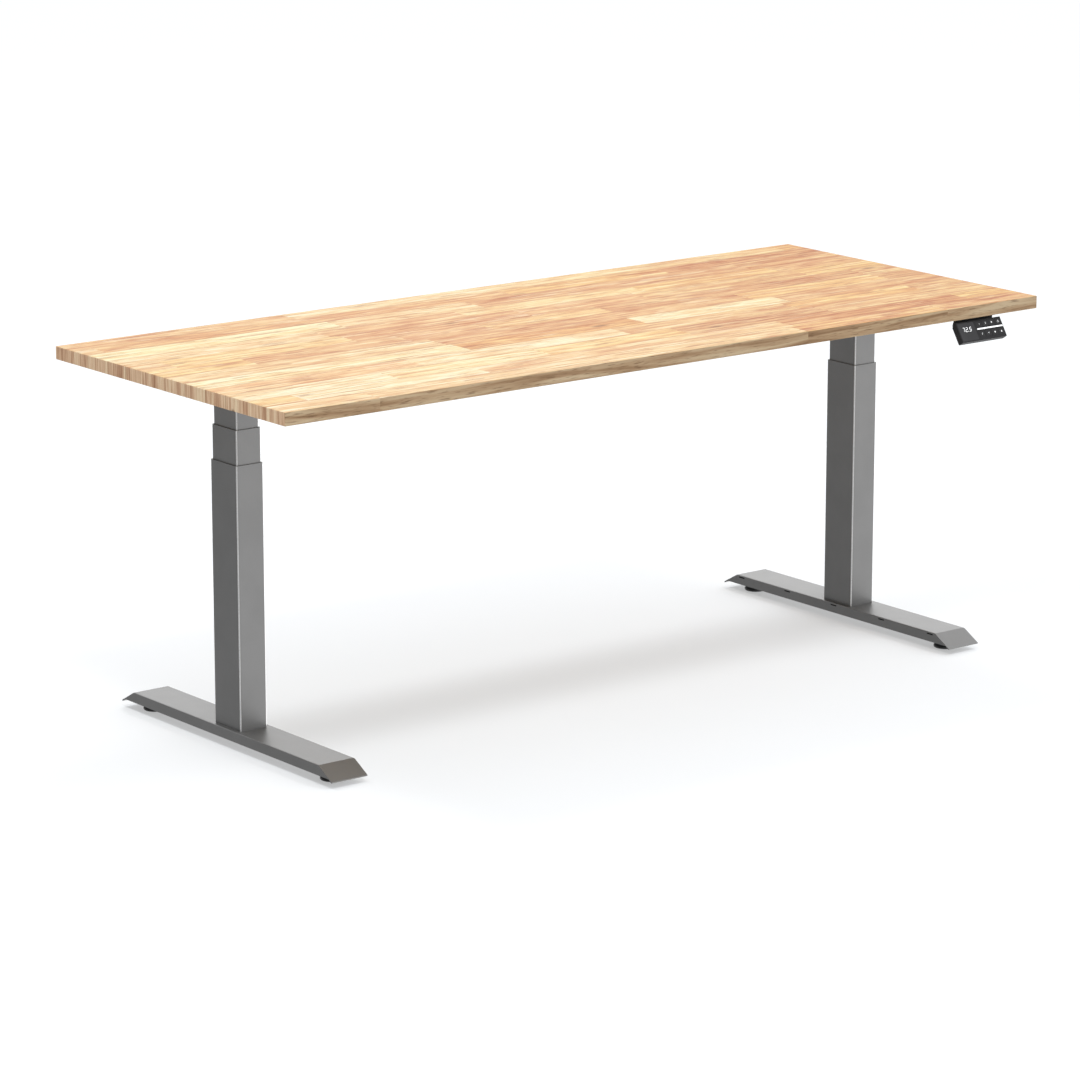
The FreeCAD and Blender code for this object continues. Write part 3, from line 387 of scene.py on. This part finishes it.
def machined(name, colour, rough=0.3, brushing=(40.0, 40.0, 2400.0)):
    g = Graph(name)
    spot = g.coords()
    brushed = g.grain(spot, brushing, 4.0, 0.65)
    patch = g.noise(spot, 35.0, 3.0, 0.5)
    tint = g.mix(g.fade(patch, 0.35, 0.75, 0.0, 0.6), colour, toned(colour, 0.72))
    tint = g.mix(g.fade(brushed, 0.4, 0.7, 0.0, 0.25), tint, grey(0.9))
    g.bump(brushed, 0.12, 0.0001)
    roughness = g.math("MULTIPLY_ADD", brushed, 0.2, rough - 0.08)
    return g.finish(Base_Color=tint, Roughness=roughness, Metallic=1.0)


def cast(name, colour):
    g = Graph(name)
    spot = g.coords()
    sand = g.noise(spot, 900.0, 4.0, 0.65)
    patch = g.noise(spot, 40.0, 3.0, 0.5)
    tint = g.mix(g.fade(patch, 0.3, 0.7), colour, toned(colour, 0.78))
    g.bump(sand, 0.5, 0.0003)
    roughness = g.math("MULTIPLY_ADD", sand, 0.25, 0.42)
    return g.finish(Base_Color=tint, Roughness=roughness, Metallic=0.9)


def lit(name, colour, strength):
    g = Graph(name)
    haze = g.noise(g.coords(), 160.0, 3.0, 0.5)
    tint = g.mix(haze, colour, toned(colour, 0.86))
    g.shader.inputs["Emission Strength"].default_value = strength
    return g.finish(Base_Color=tint, Roughness=g.math("MULTIPLY_ADD", haze, 0.1, 0.35),
                    Emission_Color=tint)


PAINT_GREY = grey(0.215)
FOOT_PAINT_AND_SLOT_SHADE = powder_coat("foot_powder_coat_slot_shade", PAINT_GREY, shaded_slots=True)
FINISH = {
    "board": stave_wood(),
    "frame_paint": powder_coat("grey_powder_coat", PAINT_GREY),
    "bare_steel": machined("oiled_steel", grey(0.55, 0.56)),
    "black_steel": machined("black_oxide", grey(0.05, 0.055), 0.42, (320.0, 320.0, 320.0)),
    "zinc_steel": machined("zinc_plate", (0.66, 0.67, 0.64, 1.0), 0.36, (320.0, 320.0, 320.0)),
    "nylon": moulded("dark_nylon", grey(0.030, 0.032), 0.45),
    "gear_alloy": cast("cast_alloy", (0.50, 0.51, 0.52, 1.0)),
    "motor_paint": powder_coat("motor_black", grey(0.028, 0.030), 1800.0),
    "glide_plastic": moulded("glide_black", grey(0.016, 0.017), 0.42, 2200.0),
    "box_plastic": moulded("box_black", grey(0.022, 0.023), 0.55, 1500.0),
    "inlet_plastic": moulded("inlet_black", grey(0.010, 0.011), 0.30, 900.0, 0.00005),
    "handset_plastic": moulded("handset_black", grey(0.010, 0.011), 0.50, 2400.0,
                               Specular_IOR_Level=0.3),
    "handset_face": moulded("keypad_face", grey(0.009, 0.010), 0.42, 3000.0, 0.00008, 0.15,
                            Specular_IOR_Level=0.20),
    "display_window": moulded("display_window", grey(0.020, 0.022), 0.30, 600.0, 0.00003, 0.06,
                              Specular_IOR_Level=0.25),
    "light_bar": lit("light_bar", (0.92, 0.93, 0.94, 1.0), 0.55),
    "key_plastic": moulded("key_face", grey(0.013, 0.014), 0.46, 3000.0, 0.00008, 0.15,
                           Specular_IOR_Level=0.22),
    "lead_jacket": moulded("lead_jacket", grey(0.018), 0.5, 1200.0),
    "clip_plastic": moulded("clip_black", grey(0.020, 0.021), 0.45),
}
DIGIT = lit("display_digit", (0.95, 0.96, 0.97, 1.0), 0.75)
# painted light: the printed key icons glow a little
GLOWING_ICON = lit("key_icon", (0.80, 0.81, 0.82, 1.0), 0.25)

for entry in frame["record"]["subparts"]:
    is_foot = entry["node"].endswith("_foot")
    mesh = nodes[entry["node"]].data
    mesh.materials.clear()
    mesh.materials.append(FOOT_PAINT_AND_SLOT_SHADE if is_foot else FINISH[entry["material_slot"]])


# ---- handset markings ----------------------------------------------------------------
def face_axes(node):
    """Axes of the handset's tilted face: to the right, up its slope and out of it."""
    areas = {}
    for face in nodes[node].data.polygons:
        if face.normal.y < -0.3 and face.normal.z > 0.2:
            key = tuple(round(c, 3) for c in face.normal)
            areas[key] = areas.get(key, 0) + face.area
    out = Vector(max(areas, key=areas.get)).normalized()
    across = Vector((1, 0, 0))
    return across, out.cross(across).normalized(), out


ACROSS, UP, OUT = face_axes("handset_faceplate")
corners = [vertex.co for vertex in nodes["handset_faceplate"].data.vertices]
front = max(corner.dot(OUT) for corner in corners)
top_edge = max(corner.dot(UP) for corner in corners)
left_edge = min(corner.x for corner in corners)
MARK_TOP, MARK_BASE = 0.00009, -0.00005  # a marking's outer and inner sides, off the face


def on_face(u, v, raised):
    """Point of the handset face, u to the right and v down from its top left corner."""
    return ACROSS * (left_edge + u) + UP * (top_edge - v) + OUT * (front + raised)


def slab(mesh, points):
    """Closed slab on the handset face with the outline given as (u, v) metres."""
    top = [mesh.verts.new(on_face(u, v, MARK_TOP)) for u, v in points]
    base = [mesh.verts.new(on_face(u, v, MARK_BASE)) for u, v in points]
    mesh.faces.new(list(reversed(top)))
    mesh.faces.new(base)
    count = len(points)
    for i in range(count):
        j = (i + 1) % count
        mesh.faces.new((top[i], top[j], base[j], base[i]))


def oblong(mesh, left, top, right, bottom):
    slab(mesh, [(left, top), (right, top), (right, bottom), (left, bottom)])


def ring(mesh, u, v, radius, width, sides=28, start=0.0, sweep=math.tau):
    """Flat ring or arc band around a spot."""
    count = max(3, int(sides * sweep / math.tau))
    closed = sweep > math.tau - 1e-6
    spots = count if closed else count + 1
    inner, outer = radius - width / 2, radius + width / 2
    rows = []
    for r, raised in ((inner, MARK_TOP), (outer, MARK_TOP), (outer, MARK_BASE),
                      (inner, MARK_BASE)):
        angles = [start + sweep * i / count for i in range(spots)]
        rows.append([mesh.verts.new(on_face(u + r * math.cos(a), v + r * math.sin(a), raised))
                     for a in angles])
    for i in range(count):
        j = (i + 1) % spots
        for a in range(4):
            b = (a + 1) % 4
            mesh.faces.new((rows[a][i], rows[a][j], rows[b][j], rows[b][i]))
    if not closed:
        mesh.faces.new([row[0] for row in rows])
        mesh.faces.new([row[-1] for row in reversed(rows)])


SEGMENTS = {"1": "bc", "2": "abged", "3": "abgcd", "4": "fgbc", "5": "afgcd", "7": "abc"}
LEAN = 0.30  # shift to the right for each unit of height


def digit(mesh, char, u, v, wide, tall, bar):
    """Seven-segment digit, upper left corner at (u, v), leaning to the right."""
    half, gap = bar / 2, bar * 0.14
    level = {"a": v, "g": v + tall / 2, "d": v + tall}
    for name in SEGMENTS[char]:
        if name in level:
            y = level[name]
            near, far = u + gap, u + wide - gap
            shape = [(near, y), (near + half, y - half), (far - half, y - half),
                     (far, y), (far - half, y + half), (near + half, y + half)]
        else:
            x = u if name in "fe" else u + wide
            start = v if name in "fb" else v + tall / 2
            near, far = start + gap, start + tall / 2 - gap
            shape = [(x, near), (x + half, near + half), (x + half, far - half),
                     (x, far), (x - half, far - half), (x - half, near + half)]
        slab(mesh, [(a + (v + tall - b) * LEAN, b) for a, b in shape])


def display_digits(mesh):
    step, wide, tall, bar = 0.0080, 0.0047, 0.0082, 0.00088
    u, v, point_room = 0.0102, 0.0124, 0.0018
    for char, offset in zip("725", (0, step, 2 * step + point_room)):
        digit(mesh, char, u + offset, v, wide, tall, bar)
    point_u, point_v, half = u + step + wide + point_room, v + tall - 0.0002, 0.00065
    oblong(mesh, point_u - half, point_v - half, point_u + half, point_v + half)


def numeral(mesh, u, v, char):
    digit(mesh, char, u - 0.0010, v - 0.0017, 0.0020, 0.0034, 0.00055)


def arrow(mesh, u, v, way, size=0.0022):
    """Arrow up the face for way 1, down it for way -1."""
    tip, neck, tail = v - way * size, v + way * size * 0.1, v + way * size * 0.7
    shaft = size * 0.42
    slab(mesh, [(u, tip), (u + size, neck), (u + shaft, neck), (u + shaft, tail),
                (u - shaft, tail), (u - shaft, neck), (u - size, neck)][::way])


def clock(mesh, u, v):
    hand = 0.0002
    ring(mesh, u, v, 0.0019, 0.0005)
    oblong(mesh, u - hand, v - 0.0012, u + hand, v + hand)
    oblong(mesh, u + hand, v - hand, u + 0.0011, v + hand)


def padlock(mesh, u, v):
    top = v - 0.0002
    oblong(mesh, u - 0.0016, top, u + 0.0016, v + 0.0020)
    ring(mesh, u, top, 0.0011, 0.0005, 24, math.pi, math.pi)


def make_piece(name, build, material, body):
    mesh = bmesh.new()
    build(mesh)
    bmesh.ops.recalc_face_normals(mesh, faces=mesh.faces)
    data = bpy.data.meshes.new(name)
    mesh.to_mesh(data)
    mesh.free()
    data.materials.append(material)
    piece = bpy.data.objects.new(name, data)
    scene.collection.objects.link(piece)
    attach(piece, body)


def key_centre(node):
    points = [vertex.co for vertex in nodes[node].data.vertices]
    us = [point.x - left_edge for point in points]
    vs = [top_edge - point.dot(UP) for point in points]
    return (min(us) + max(us)) / 2, (min(vs) + max(vs)) / 2


make_piece("display_digits", display_digits, DIGIT, "top")
MARKS = [("key_preset_" + char, numeral, char) for char in "1234"]
MARKS += [("key_up", arrow, 1), ("key_down", arrow, -1), ("key_timer", clock),
          ("key_lock", padlock)]
for key, draw, *kind in MARKS:
    u, v = key_centre(key)
    make_piece(key + "_mark", lambda mesh: draw(mesh, u, v, *kind), GLOWING_ICON, key + "_cap")


# ---- floor and light -------------------------------------------------------------------
SPAN, DROP = 60.0, 0.0005  # half the floor's width, and how far it lies below the glides
NEAR, FAR = 1.0, 6.0  # metres from the desk over which the floor's own glow grows
NEAR_GLOW, FAR_GLOW = 0.40, 0.54


def floor_material():
    """Pale floor, a touch cool against the warm light that the wood throws on it."""
    g = Graph("pale_floor")
    speck = g.noise(g.coords(), 3.0, 2.0, 0.5)
    tint = g.mix(speck, (0.475, 0.495, 0.515, 1.0), (0.485, 0.505, 0.525, 1.0))
    reach = g.add("ShaderNodeVectorMath", {0: g.coords()}, out=1, operation="LENGTH")
    glow = g.fade(reach, NEAR, FAR, NEAR_GLOW, FAR_GLOW)
    return g.finish(Base_Color=tint, Roughness=0.9, Specular_IOR_Level=0.0,
                    Emission_Color=grey(1.0), Emission_Strength=glow)


plane = bpy.data.meshes.new("floor")
plane.from_pydata([(-SPAN, -SPAN, 0), (SPAN, -SPAN, 0), (SPAN, SPAN, 0), (-SPAN, SPAN, 0)], [],
                  [(0, 1, 2, 3)])
plane.materials.append(floor_material())
floor = bpy.data.objects.new("floor", plane)
floor.location.z = -DROP
floor.visible_glossy = False
scene.collection.objects.link(floor)

WORLD_DIM, WORLD_BRIGHT = 0.22, 1.65


def studio_world():
    """White surroundings, brighter from the right and dimmer from the left."""
    world = bpy.data.worlds.new("studio")
    world.use_nodes = True
    tree = world.node_tree
    backdrop = tree.nodes["Background"]
    backdrop.inputs["Color"].default_value = (1.0, 1.0, 1.0, 1.0)
    direction = tree.nodes.new("ShaderNodeTexCoord")
    rightness = tree.nodes.new("ShaderNodeSeparateXYZ")
    tree.links.new(direction.outputs["Generated"], rightness.inputs[0])
    span = tree.nodes.new("ShaderNodeMapRange")
    for key, value in (("From Min", -0.9), ("From Max", 0.9), ("To Min", WORLD_DIM),
                       ("To Max", WORLD_BRIGHT)):
        span.inputs[key].default_value = value
    tree.links.new(rightness.outputs["X"], span.inputs["Value"])
    tree.links.new(span.outputs[0], backdrop.inputs["Strength"])
    scene.world = world


studio_world()


def softbox(name, azimuth, distance, height, wide, tall, radiance):
    """Rectangular light facing the desk. Azimuth 0 is in front of it, 90 to its right."""
    lamp = bpy.data.lights.new(name, "AREA")
    lamp.shape = "RECTANGLE"
    lamp.size, lamp.size_y = wide, tall
    lamp.energy = radiance * math.pi * wide * tall
    item = bpy.data.objects.new(name, lamp)
    azimuth = math.radians(azimuth)
    towards = Vector((math.sin(azimuth), -math.cos(azimuth), 0))
    item.location = towards * distance + Vector((0, 0, height))
    item.rotation_euler = (item.location - middle).to_track_quat("Z", "Y").to_euler()
    scene.collection.objects.link(item)
    return item


# Four high corner lights: their shadows of the desktop overlap only between the feet. The
# front right one would shine back off the handset, so reflections leave it out.
for name, azimuth, radiance in (("front_left", -45, 26.5), ("front_right", 45, 18.0),
                                ("back_left", -135, 26.5), ("back_right", 135, 18.0)):
    lamp = softbox(name + "_light", azimuth, 2.6, 4.4, 0.85, 0.85, radiance)
    lamp.visible_glossy = name != "front_right"
# A low light behind the desk, for reflections only: it brightens the tops of the feet.
softbox("rim_light", 142, 7.0, 2.1, 4.0, 2.6, 0.65).visible_diffuse = False
